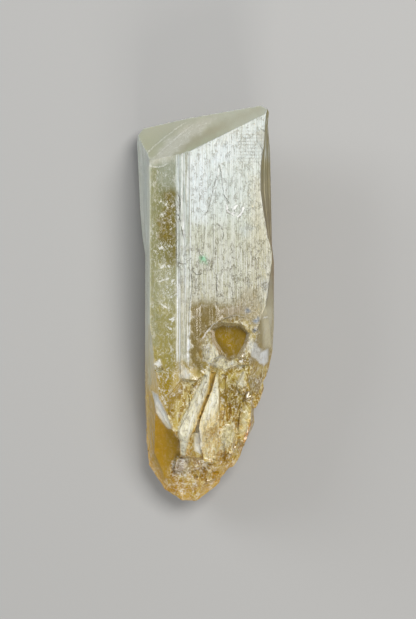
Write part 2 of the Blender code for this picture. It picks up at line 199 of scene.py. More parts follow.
class Canvas:
    """Adds nodes to one node tree and wires them as they are added."""

    def __init__(self, tree: bpy.types.NodeTree) -> None:
        """Works on an existing tree."""
        self.tree = tree

    def add(self, kind: str, inputs: dict[Any, Any] | None = None, **settings: Any) -> Any:
        """Adds a node.

        Args:
            kind: The node's type name.
            inputs: Socket names or numbers, with the value or the output socket each one takes.
            settings: Properties of the node itself.

        Returns:
            The new node.
        """
        node = self.tree.nodes.new(kind)
        for name, value in settings.items():
            setattr(node, name, value)
        self.put(node, inputs or {})
        return node

    def put(self, node: Any, inputs: dict[Any, Any]) -> None:
        """Sets a node's inputs to values or wires them to output sockets.

        Args:
            node: The node.
            inputs: Socket names or numbers, with what each one takes.
        """
        for key, value in inputs.items():
            if isinstance(value, bpy.types.NodeSocket):
                self.tree.links.new(value, node.inputs[key])
            else:
                node.inputs[key].default_value = value

    def math(self, operation: str, *values: Any) -> Any:
        """The output of a Math node over up to three values or sockets."""
        return self.add("ShaderNodeMath", dict(enumerate(values)), operation=operation).outputs[0]

    def fold(self, operation: str, *values: Any) -> Any:
        """Joins several values or sockets, one after another, by one operation."""
        return functools.reduce(lambda first, second: self.math(operation, first, second), values)

    def times(self, *values: Any) -> Any:
        """The product of several values or sockets."""
        return self.fold("MULTIPLY", *values)

    def most(self, *values: Any) -> Any:
        """The largest of several values or sockets."""
        return self.fold("MAXIMUM", *values)

    def vector(self, operation: str, *values: Any) -> Any:
        """The vector that a Vector Math node makes of up to three vectors."""
        return self.add("ShaderNodeVectorMath", dict(enumerate(values)),
                        operation=operation).outputs[0]

    def scaled(self, vector: Any, scale: Triple) -> Any:
        """A vector multiplied by a factor for each axis."""
        return self.vector("MULTIPLY", vector, scale)

    def along(self, vector: Any, distance: Any) -> Any:
        """A direction multiplied by a distance."""
        return self.add("ShaderNodeVectorMath", {0: vector, "Scale": distance},
                        operation="SCALE").outputs[0]

    def step(self, value: Any, low: float, high: float, to_low: float = 0.0,
             to_high: float = 1.0) -> Any:
        """Maps a value smoothly from one range to another and holds it at the ends.

        Args:
            value: The value to map.
            low: Where the first range begins.
            high: Where it ends.
            to_low: What low becomes.
            to_high: What high becomes.

        Returns:
            The mapped value.
        """
        places = {"Value": value, "From Min": low, "From Max": high, "To Min": to_low,
                  "To Max": to_high}
        return self.add("ShaderNodeMapRange", places, interpolation_type="SMOOTHSTEP").outputs[0]

    def noise(self, vector: Any, scale: float | Triple, detail: float = 2.0,
              roughness: float = 0.5, distortion: float = 0.0) -> Any:
        """Adds a noise texture.

        Args:
            vector: Coordinates.
            scale: One scale, or a scale for each axis.
            detail: Octaves of finer noise.
            roughness: How strong the finer noise is.
            distortion: How much the noise is bent.

        Returns:
            The noise's value.
        """
        if isinstance(scale, tuple):
            vector, scale = self.scaled(vector, scale), 1.0
        places = {"Vector": vector, "Scale": scale, "Detail": detail, "Roughness": roughness,
                  "Distortion": distortion}
        return self.add("ShaderNodeTexNoise", places).outputs[0]

    def bent(self, vector: Any, scale: float, detail: float, reach: float) -> Any:
        """Coordinates pushed to and fro by a noise."""
        bend = self.add("ShaderNodeTexNoise", {"Vector": vector, "Scale": scale, "Detail": detail})
        return self.vector("MULTIPLY_ADD", bend.outputs["Color"], (reach,) * 3, vector)

    def cells(self, vector: Any, scale: Triple, feature: str = "F1") -> Any:
        """The outputs of a Voronoi texture with a scale for each axis."""
        return self.add("ShaderNodeTexVoronoi", {
            "Vector": self.scaled(vector, scale), "Scale": 1.0}, feature=feature).outputs

    def seams(self, vector: Any, scale: Triple, width: float, core: float, gate: Any) -> Any:
        """Thin lines along the borders of cells, where a gate lets them show.

        Args:
            vector: Bent coordinates.
            scale: Cells for each millimetre, along each axis.
            width: Half the width of a line.
            core: The share of that width that is full line.
            gate: A mask of where the lines show.

        Returns:
            A mask of the lines.
        """
        border = self.cells(vector, scale, "DISTANCE_TO_EDGE")["Distance"]
        return self.times(self.step(border, width, core * width), gate)

    def mix(self, factor: Any, first: Any, second: Any, blend: str = "MIX") -> Any:
        """Mixes two colours.

        Args:
            factor: How much of the second is mixed in.
            first: A socket or a linear colour.
            second: A socket or a linear colour.
            blend: Blender's name for the way of mixing.

        Returns:
            The mixed colour.
        """
        first, second = ((*colour, 1.0) if isinstance(colour, tuple) else colour
                         for colour in (first, second))
        return self.add("ShaderNodeMix", {0: factor, 6: first, 7: second}, data_type="RGBA",
                        blend_type=blend).outputs[2]


def geometry_tree(name: str, inputs: dict[str, Any]) -> tuple[Canvas, Any]:
    """Starts a Geometry Nodes tree.

    Args:
        name: The tree's name.
        inputs: Its named inputs, each with a default value.

    Returns:
        A canvas on the tree, and the outputs of its group input node.
    """
    tree = bpy.data.node_groups.new(name, "GeometryNodeTree")
    tree.interface.new_socket("Geometry", in_out="INPUT", socket_type="NodeSocketGeometry")
    for title, value in inputs.items():
        kind = "NodeSocketInt" if isinstance(value, int) else "NodeSocketFloat"
        tree.interface.new_socket(title, in_out="INPUT", socket_type=kind).default_value = value
    tree.interface.new_socket("Geometry", in_out="OUTPUT", socket_type="NodeSocketGeometry")
    canvas = Canvas(tree)
    return canvas, canvas.add("NodeGroupInput").outputs


def end_tree(canvas: Canvas, geometry: Any, material: bpy.types.Material) -> bpy.types.NodeTree:
    """Ends a Geometry Nodes tree with real geometry that wears a material.

    Args:
        canvas: The canvas on the tree.
        geometry: What the tree has made.
        material: The material for all of it.

    Returns:
        The tree.
    """
    real = canvas.add("GeometryNodeRealizeInstances", {0: geometry})
    dressed = canvas.add("GeometryNodeSetMaterial", {
        "Geometry": real.outputs[0], "Material": material})
    canvas.add("NodeGroupOutput", {0: dressed.outputs[0]})
    return canvas.tree


def run_tree(host: bpy.types.Object, tree: bpy.types.NodeTree, values: dict[str, Any]) -> None:
    """Gives an object a Geometry Nodes tree's result as its mesh.

    Args:
        host: The object whose mesh the tree starts from.
        tree: The tree to run.
        values: The tree's named inputs and what each is set to.
    """
    modifier = host.modifiers.new(tree.name, "NODES")
    modifier.node_group = tree
    sockets = {item.name: item.identifier for item in tree.interface.items_tree
               if item.item_type == "SOCKET" and item.in_out == "INPUT"}
    for name, value in values.items():
        modifier[sockets[name]] = value
    result = evaluated_mesh(host)
    host.modifiers.remove(modifier)
    host.data = result


def shader_group(name: str) -> tuple[Canvas, Any]:
    """Starts a shader group that takes coordinates.

    Args:
        name: The group's name.

    Returns:
        A canvas on the group, and the coordinates.
    """
    tree = bpy.data.node_groups.new(name, "ShaderNodeTree")
    tree.interface.new_socket("Coordinates", in_out="INPUT", socket_type="NodeSocketVector")
    canvas = Canvas(tree)
    return canvas, canvas.add("NodeGroupInput").outputs["Coordinates"]


def end_group(canvas: Canvas, outputs: dict[str, Any]) -> bpy.types.NodeTree:
    """Ends a shader group.

    Args:
        canvas: The canvas on the group.
        outputs: The group's outputs by name.

    Returns:
        The group.
    """
    for title in outputs:
        canvas.tree.interface.new_socket(title, in_out="OUTPUT", socket_type="NodeSocketFloat")
    canvas.add("NodeGroupOutput", outputs)
    return canvas.tree


def principled(name: str) -> tuple[bpy.types.Material, Canvas, Any]:
    """Starts a material.

    Args:
        name: The material's name.

    Returns:
        The material, a canvas on its nodes and its Principled BSDF node.
    """
    material = bpy.data.materials.new(name)
    material.use_nodes = True
    return material, Canvas(material.node_tree), material.node_tree.nodes["Principled BSDF"]


# ---------------------------------------------------------------- what lies where

class Face(enum.Enum):
    """The kinds of surface that the crystal shows."""

    SIDES = "sides"
    BROAD = "broad"
    NARROW = "narrow"
    BUNDLE = "bundle"
    DOME = "dome"
    LEFT = "left"
    RIGHT = "right"


@dataclass(frozen=True)
class Look:
    """How a place on the crystal looks."""

    colour: Triple  # display colour of 0 to 255
    frost: float = 0.5  # 0 clear and polished, 1 matt and white
    fleck: float = 0.0  # share of white flecks and healed cracks
    speckle: float = 0.0  # share of dark specks

    def row(self) -> tuple[float, ...]:
        """The linear colour, the frost, the flecks and the specks in one row."""
        return (*srgb(self.colour), self.frost, self.fleck, self.speckle)


@dataclass(frozen=True)
class Tone:
    """How a face looks along the crystal, from tip to root."""

    stops: tuple[tuple[float, Look], ...]

    def along(self, y: Array) -> Array:
        """Blends the stops along the crystal.

        Args:
            y: Places along the crystal.

        Returns:
            The look at each place, one row of numbers each.
        """
        stops = sorted(self.stops, key=lambda stop: stop[0])
        places = [place for place, _ in stops]
        table = [look.row() for _, look in stops]
        return np.stack([np.interp(y, places, column) for column in zip(*table)], 1)


def tone(*rows: tuple[float, ...]) -> Tone:
    """A tone from rows of y, red, green, blue, frost and flecks."""
    return Tone(tuple((y, Look((red, green, blue), *rest)) for y, red, green, blue, *rest in rows))


TONES = {
    Face.SIDES: tone(
        (28, 214, 222, 214, 0.75, 0.1), (5, 200, 196, 160, 0.6, 0.15),
        (-10, 190, 160, 44, 0.32, 0.45), (-28, 192, 146, 2, 0.18, 0.6)),
    # The broad face is whiter and bluish towards the tip: partly the frosted face's own white,
    # partly a painted reflection of the light on the etched face.
    Face.BROAD: tone(
        (29, 232, 242, 238, 0.95, 0.1), (17, 222, 234, 230, 0.9, 0.1),
        (11, 202, 210, 190, 0.8, 0.15), (4, 192, 193, 160, 0.75, 0.2),
        (-1, 180, 166, 120, 0.55, 0.2), (-9, 166, 142, 24, 0.26, 0.6),
        (-28, 184, 146, 2, 0.18, 0.66)),
    Face.NARROW: tone(
        (22, 154, 160, 136, 0.5, 0.2), (15, 146, 147, 112, 0.26, 0.55),
        (8, 140, 136, 80, 0.16, 0.6), (3, 150, 146, 92, 0.36, 0.7),
        (-4, 158, 148, 82, 0.28, 0.45), (-8.5, 152, 138, 58, 0.24, 0.4),
        (-11, 158, 132, 22, 0.2, 0.72), (-28, 184, 142, 2, 0.14, 0.6)),
    Face.BUNDLE: tone(
        (22, 204, 217, 212, 0.8, 0.15), (5, 196, 204, 188, 0.7, 0.35),
        (-3, 196, 194, 170, 0.6, 0.4), (-10, 176, 152, 66, 0.35, 0.6),
        (-28, 196, 150, 2, 0.18, 0.62)),
    Face.DOME: tone(
        (29, 190, 191, 172, 0.6), (24, 178, 181, 152, 0.6), (20, 172, 175, 144, 0.6, 0.1)),
    # The left face is pale and bluish: partly its own colour, partly painted light from the left.
    Face.LEFT: tone(
        (24, 198, 208, 200, 0.75), (5, 214, 220, 202, 0.7), (-4, 224, 222, 198, 0.65, 0.1),
        (-8, 220, 208, 164, 0.55, 0.2), (-13, 232, 190, 66, 0.35, 0.25),
        (-28, 226, 168, 4, 0.22, 0.25)),
    Face.RIGHT: tone(
        (24, 132, 118, 30, 0.95), (13, 126, 100, 6, 0.8), (5, 146, 110, 24, 0.6),
        (-1, 186, 172, 120, 0.4, 0.2), (-8, 168, 138, 30, 0.3, 0.4), (-28, 186, 142, 2, 0.2, 0.6)),
}


@dataclass(frozen=True)
class Patch:
    """A soft-edged area of the upper surface, seen from above, with a look of its own."""

    name: str
    outline: Path
    look: Look
    feather: float = 0.5
    strength: float = 1.0
    steep: bool = False  # whether steep walls take the look too, and the border stays even


AMBER = Look((148, 118, 0), 0.05, 0.10)
CREAM = Look((255, 249, 212), 0.85, 0.0, 0.62)
CHALK = Look((252, 252, 246), 1.0, 0.3)
STAIN = Look((156, 136, 96), 0.5)
INK = Look((88, 108, 134), 0.55)

PATCHES = (
    Patch("dark window", path("-7 16.2, -5.2 17.2, -4.3 16.6, -4.3 5.7, -6.1 5.9, -7.2 9.6"),
          Look((120, 102, 14), 0.06, 0.55), 0.9, 0.9),
    Patch("upper flecks", path("-7.8 18, -6.4 17.8, -5.7 14.8, -6.4 13.2, -7.7 13.6"),
          Look((136, 136, 92), 0.2, 1), 0.7, 0.8),
    Patch("lower flecks", path("-7.9 9.8, -5.4 9.2, -4.8 6.6, -7.6 6.2"),
          Look((132, 130, 80), 0.2, 1), 0.7, 0.65),
    Patch("cloudy narrow face", path("-7.9 6.2, -4.4 6.2, -4.4 0, -7.9 0.8"),
          Look((168, 167, 130), 0.45, 0.9), 0.9, 0.6),
    Patch("narrow margin", path("-8.15 20.6, -7.1 20.6, -7 -6, -8.1 -6"),
          Look((138, 138, 92), 0.4, 0.3), 0.35, 0.75),
    # Partly painted light from the left: the pale strip along the left edge.
    Patch("edge strip", path("-8.7 20.8, -8.2 20.8, -8.2 -12, -8.7 -12"),
          Look((226, 232, 210), 0.7), 0.25, 0.9, True),
    Patch("edge strip below", path("-8.7 -3, -8.2 -3, -8.2 -13, -8.7 -13"),
          Look((208, 188, 108), 0.5, 0.2), 0.3, 0.85, True),
    Patch("dome veil", path("-8.4 21, -5.8 24.6, -2.8 26.9, 0.5 28.3, 1.6 28, -1.3 25.2, "
          "-4.9 21.9, -6.7 21"), Look((200, 199, 182), 0.75, 0.45), 0.7, 0.85),
    Patch("dome shade", path("-5.2 21.6, 0 24.7, 4.5 26.9, 8.5 29.2, 8.5 29.6, 5.2 28.7, 1.5 26.9, "
          "-2.2 24.8"), Look((166, 160, 130), 0.5), 0.6, 0.6),
    # Partly a painted reflection: the bluish white at the tip end of the broad face.
    Patch("tip", path("2.2 23.6, 5.4 26, 9.2 28.2, 10 26, 10 22, 1 21"),
          Look((222, 238, 250), 0.95), 0.7, 0.6),
    # Partly a painted reflection: the near-white upper left of the broad face.
    Patch("left of the broad face", path("-2.2 22, 0.3 23, 0.2 12, -2.2 12"),
          Look((240, 251, 255), 1), 0.7, 0.6),
    Patch("right of the broad face", path("3 29, 10.5 29, 10.5 -1, 4.5 -1"),
          Look((194, 200, 182), 0.7, 0.1), 2.2, 0.45),
    Patch("tan margin", path("6.9 19, 10.5 19, 10.5 1, 6.3 1"),
          Look((178, 166, 122), 0.55), 1.1, 0.55),
    Patch("cream field", path("-2.2 11.8, 10 11.8, 10.1 0.7, 5.2 0.7, 3.4 0, 1.5 0.4, -2.2 0.7"),
          Look((192, 188, 152), 0.75, 0.2), 2, 0.5),
    Patch("brown band", path("-2.2 0.3, 1 0.5, 3.4 -0.2, 5.8 0.3, 7.6 -0.5, 6.7 -1.7, 4 -2, "
          "1.6 -3.2, -0.1 -5.5, -0.7 -7.6, 0.2 -9.1, -0.7 -10.4, -1.6 -11.9, -2.2 -10, -2.8 -6.7, "
          "-2.5 -3"), Look((118, 96, 2), 0.12, 0.15), 1, 0.95),
    Patch("beige field", path("4.4 0.6, 5.6 2.2, 8 2.4, 8.6 -1.4, 10 -1.4, 10.1 -9, 8.5 -7, "
          "7.6 -3.8, 6.6 -2.4, 4.6 -1"), Look((152, 138, 92), 0.45, 0.1), 0.8, 0.9),
    Patch("right ledge", path("8.5 -0.4, 10.4 -0.4, 10.4 -6.4, 8.9 -6.4"),
          Look((222, 212, 172), 0.6, 0.35, 0.4), 0.5, 0.85, True),
    Patch("stain", path("2.5 -1.1, 4 -0.2, 6.4 -0.2, 6.7 -0.8, 4.6 -1.4, 3.1 -2"), STAIN, 0.5, 0.7),
    Patch("white band", path("-4.3 2.9, -2.5 2.9, -2.2 0.7, -2.5 -3.8, -2.2 -6, -2.6 -8.6, "
          "-4.1 -8.6, -4.4 -3.8"), Look((212, 208, 178), 0.7, 0.4), 0.5, 0.75),
    Patch("band end", path("-4.4 -8.2, -2 -8.8, -1.8 -11, -4.5 -11"),
          Look((170, 148, 74), 0.25, 0.7), 0.6, 0.9),
    Patch("rim", path("-0.7 -5.2, 0.2 -3.5, 1.6 -2.3, 4 -1.7, 6.1 -1.8, 7.6 -3.2, 8.2 -5.5, "
          "8.2 -7.9, 6.1 -9.1, 3.7 -10, 1.3 -9.7, -0.3 -7.6"),
          Look((146, 122, 44), 0.3, 0.9), 0.6, 0.8),
    Patch("white rim left", path("-0.9 -6.4, -0.2 -5.4, 0.6 -5.4, 0.5 -6.4, -0.2 -7.4"),
          Look((190, 180, 142), 0.5, 0.8, 0.5), 0.35, 0.5),
    Patch("white rim below", path("-0.3 -6.6, 1.3 -6.2, 2.5 -7.4, 4 -8.4, 5.2 -9.1, 3.1 -9.7, "
          "1 -9, -0.1 -8"), Look((222, 214, 188), 0.75, 0.9, 1), 0.4, 0.85),
    Patch("white rim right", path("6.4 -4.9, 7.3 -5.7, 8.4 -7, 8.1 -8.7, 7 -7.6, 6.3 -6"),
          Look((244, 243, 234), 0.85, 0.75, 1), 0.35),
    Patch("pit", path("1 -4.1, 2.4 -3, 5.2 -3.2, 6.6 -4.3, 6 -6.2, 4.8 -7.8, 3.6 -8.1, 2.2 -6.9, "
          "1.2 -5.5"), AMBER, 0.45),
    Patch("pit glow", path("2 -4.6, 3.4 -4.4, 4.6 -6, 3.8 -7, 2.6 -5.8"),
          Look((182, 146, 8), 0.05, 0.25), 0.6, 0.6),
    Patch("white facet", path("8.2 -7.2, 9.5 -6.7, 9.5 -8.6, 9 -9.1, 8.2 -8.7"),
          Look((244, 248, 250), 0.9, 0.4, 0.7), 0.25, 1, True),
    Patch("beside the splinters", path("-4.3 -10, -1.9 -10, -0.7 -10.4, -2.2 -14.2, -4 -17.4, "
          "-4.9 -17.1, -4.7 -13"), Look((170, 142, 62), 0.25, 0.55), 0.6, 0.85),
    # Painted light: a lighter colour on a steep wall that falls in shade, so that the shaded line
    # along it shows less.
    Patch("shelf edge", path("-4.8 -10, -1.2 -9.4, -1 -10.7, -2.9 -11.3, -3.9 -12, -4.9 -13.4"),
          Look((222, 196, 110), 0.4, 0.7), 0.4, 0.5, True),
    Patch("white fragments", path("-3.6 -9, -2.6 -9.6, -2 -11.2, -2.9 -11.6, -3.8 -10.4"),
          Look((236, 230, 208), 0.75, 0.9, 0.8), 0.4, 0.8),
    Patch("amber right of the splinters", path("2.6 -10.8, 8.4 -11, 7.8 -15.6, 4 -16.2, 2.6 -14"),
          Look((134, 108, 0), 0.14, 0.55), 1.2, 0.85),
    Patch("end", path("-5.4 -22.6, 1.4 -22.8, 1 -28.6, -1.8 -30, -6.2 -28.4"),
          Look((168, 128, 0), 0.26, 0.7), 0.6, 0.9),
    Patch("left end shard", path("-5 -23, -2.4 -23, -2.2 -25.6, -5 -25.8"),
          Look((112, 80, 0), 0.55, 0.5), 0.4, 0.9, True),
    Patch("left splinter", path("0.5 -9.3, 0.9 -10.3, 0.5 -12.7, -0.6 -15.7, -1.2 -17.4, "
          "-2.2 -19.5, -3.1 -22.7, -3.7 -22.4, -3.9 -20.1, -4 -18.6, -3.4 -17.1, -1.9 -14.2"),
          CREAM, 0.2, 1, True),
    Patch("right splinter", path("1.8 -10.2, 2.1 -13, 2.1 -18.6, 1.6 -23.4, 0 -22.8, -0.6 -20.1, "
          "-0.9 -17.5, 0.2 -14.5, 1 -12.4"), CREAM, 0.2, 1, True),
    Patch("right splinter foot", path("-0.6 -18.2, 2.4 -15.6, 2.2 -23.4, -0.2 -23"),
          Look((204, 166, 48), 0.3, 0.6, 0.6), 1.4, 0.9, True),
    Patch("splinter gap", path("1 -9.8, 1.7 -10.2, 0.9 -12.9, 0 -15.1, -0.8 -17.4, -1.3 -19.2, "
          "-1.7 -18.8, -0.9 -16.2, 0.3 -13.2"), Look((232, 190, 70), 0.2, 0.1), 0.25, 1, True),
    Patch("small splinter", path("6.1 -9.7, 4.6 -12.1, 5.7 -12.3"), CREAM, 0.2),
    Patch("pale flat", path("2.3 -19.1, 4.2 -17.6, 4.6 -19.7, 4 -21.2, 2.6 -21.6"),
          Look((214, 208, 176), 0.6, 0.7, 0.7), 0.5, 0.9),
    Patch("pale ledge", path("5.2 -16, 6.4 -15.4, 6.3 -19, 5.2 -19.4"),
          Look((216, 212, 180), 0.6, 0.4), 0.4, 0.7),
    Patch("white shard", path("-1 -17.2, -0.4 -19.6, -0.6 -22.4, -1.6 -21.8, -1.7 -20"),
          Look((255, 255, 252), 1, 0.2), 0.2, 1, True),
    Patch("bright corner", path("-7.7 -9.1, -6.7 -8.2, -6.7 -9.3"), CHALK, 0.2),
    Patch("amber facet", path("-8.7 -12.7, -7.5 -14.3, -5.6 -18.1, -3.8 -20.3, -3.8 -22.6, "
          "-5.3 -24.1, -5.6 -26.3, -6 -27.8, -8.3 -24.8, -8.7 -22.6"),
          Look((170, 132, 4), 0.12, 0.06), 0.4),
    Patch("left shard", path("-8 -13, -7.2 -13.4, -6.2 -15.4, -4.8 -18.5, -5.6 -18.6, -7.3 -16.2"),
          CHALK, 0.25, 1, True),
    # Painted light: a lighter colour on the chipped left edge of the root, so that its shaded chips
    # show less.
    Patch("left edge of the root", path("-10.6 -12, -8.7 -12.4, -8.4 -24, -10 -24"),
          Look((240, 204, 110), 0.4), 0.3, 0.7, True),
    Patch("notch", path("7.5 25.4, 8.8 26.3, 9.2 25.1, 8.6 23.3"),
          Look((196, 194, 176), 0.6), 0.3, 0.6),
    Patch("orange edge", path("7 -17.6, 6 -19.6, 5 -22.6, 5.6 -22.8, 6.6 -20, 7.6 -17.8"),
          Look((206, 122, 20), 0.2, 0.3), 0.25, 0.7),
    Patch("green spot", disc(-0.3, 6.7, 0.6), Look((74, 204, 134), 0.6), 0.45),
    Patch("upper ink spot", disc(6.3, -0.9, 0.4), INK, 0.25),
    Patch("middle ink spot", disc(7.7, -2.3, 0.4), INK, 0.25),
    Patch("lower ink spot", disc(7.3, -3.8, 0.35), INK, 0.25),
    Patch("bluish cloud", disc(9.1, 2.9, 0.9), Look((168, 171, 166), 0.6), 0.7, 0.8),
    Patch("bluish tinge", disc(6.2, 11.0, 1.0), Look((184, 198, 200), 0.7), 0.9, 0.5),
)


def ragged(plan: Array) -> Array:
    """Pushes places to and fro a little, so that soft areas get uneven borders.

    Args:
        plan: The places, one (x, y) row each.

    Returns:
        The moved places.
    """
    x, y = plan[:, 0], plan[:, 1]
    right = 0.16 * np.sin(2.9 * y + 1.3 * x) + 0.10 * np.sin(6.1 * y - 2.2 * x + 1.0)
    up = 0.16 * np.sin(3.3 * x - 1.1 * y) + 0.10 * np.sin(5.7 * x + 2.6 * y + 2.0)
    return plan + np.stack([right, up], 1)


@dataclass(frozen=True)
class Stroke:
    """A thin line on the upper surface, seen from above; a negative strength is a white line."""

    name: str
    line: Path
    strength: float = 1.0


STROKES = (
    Stroke("left of the fork", path("2.1 21.5, 1.8 19.2, 1.2 17, 0.7 14.8, 0 13"), 0.65),
    Stroke("right of the fork", path("2.1 21.2, 2.5 18.8, 2.8 16.3, 3.9 14.8"), 0.7),
    Stroke("long line", path("0 12.3, -0.1 8.9, -0.7 6.3"), 0.5),
    Stroke("hook", path("1.5 12.3, 2.5 11.4, 2.8 10.3, 2.5 9.4"), 0.7),
    Stroke("short edge", path("-1.2 9.6, -0.9 7.8, -0.3 6.9"), 0.7),
    Stroke("curl", path("-1.8 6.3, -1.8 5, -1.2 4.4, -0.4 4.6"), 0.9),
    Stroke("upright crack", path("1.8 4.9, 1.8 2.2, 1.8 -0.2"), 1),
    Stroke("middle line", path("1.2 12.3, 1.3 8.1, 0.9 4.4"), 0.4),
    Stroke("bundle crack", path("-4.1 17, -3.7 15.1, -4 13.3, -3.4 11.4, -3.1 9.6"), 0.9),
    Stroke("bundle cross", path("-4.3 6.3, -3 6, -1.9 7.1"), 0.7),
    Stroke("band edge", path("-2.1 5.1, -1.8 2.9, -2.2 0.7, -2.5 -2"), 0.7),
    Stroke("window edge", path("-4.6 16.1, -4.3 13.8, -4.3 9.6, -4.3 5.4"), 0.6),
    Stroke("rim arc", path("2.5 -2.3, 4.5 -1.7, 6.1 -2"), 0.5),
    Stroke("dome line", path("-9.1 21.3, -8.7 22.8, -7.3 24.2, -5.8 25.5, -4 27, -2.2 28"), -0.55),
    Stroke("dome line below", path("-8.2 21.4, -6.2 23.3, -4 25.4, -1.4 27.6"), -0.4),
    Stroke("dome foot", path("-8.9 21, -7.6 20.5, -6.4 20.6, -5.3 21.1"), -0.5),
    Stroke("glint 1", path("3.2 14.9, 3.4 13.9, 4.5 13.2"), -1.6),
    Stroke("glint 2", path("5.8 14.6, 5.5 13.7, 4.8 12.9"), -1.6),
    Stroke("glint 3", path("2.1 20.4, 1.9 18.8"), -0.9),
    Stroke("glint 4", path("2.8 17.3, 2.8 16"), -0.8),
    Stroke("glint 5", path("4 13.9, 4.9 14.9"), -1.3),
    Stroke("glint 6", path("-5.5 -2.3, -4.6 -2, -4.9 -2.6"), -0.9),
    Stroke("glint 7", path("-5.2 1.1, -4 1.7"), -0.8),
    Stroke("glint 8", path("-5.9 -3, -4.9 -3.8"), -0.7),
    Stroke("glint 9", path("-7 3.4, -5.4 4"), -0.7),
    Stroke("glint 10", path("-6.8 0.2, -5.6 -0.5"), -0.7),
    Stroke("right tick", path("8.5 -2, 9.4 -1.8, 10.1 -2"), -0.8),
    Stroke("left splinter edge", path("0.4 -9.8, -1.9 -14, -3.5 -17.2, -4 -20, -3.7 -22.6"), 0.45),
    Stroke("left splinter ridge", path("0.6 -10.6, -0.6 -13.8, -2 -17.2, -2.8 -20.6"), -0.6),
    Stroke("right splinter ridge", path("1.5 -11.4, 1 -14.6, 0.3 -17.6"), -0.6),
    Stroke("fracture arc", path("-0.6 -5.5, 0.2 -4.1, 1.2 -3, 2.1 -2.6"), -0.9),
)


# ---------------------------------------------------------------- the crystal

@dataclass(frozen=True)
class Wear:
    """How strongly a kind of face carries growth steps and etching."""

    growth: float
    etch: float


WEAR = {
    Face.SIDES: Wear(1.0, 0.7),
    Face.BROAD: Wear(0.55, 1.0),
    Face.NARROW: Wear(0.15, 0.4),
    Face.BUNDLE: Wear(2.2, 0.8),
    Face.DOME: Wear(0.0, 0.22),
    Face.LEFT: Wear(0.8, 0.6),
    Face.RIGHT: Wear(0.1, 0.10),
}


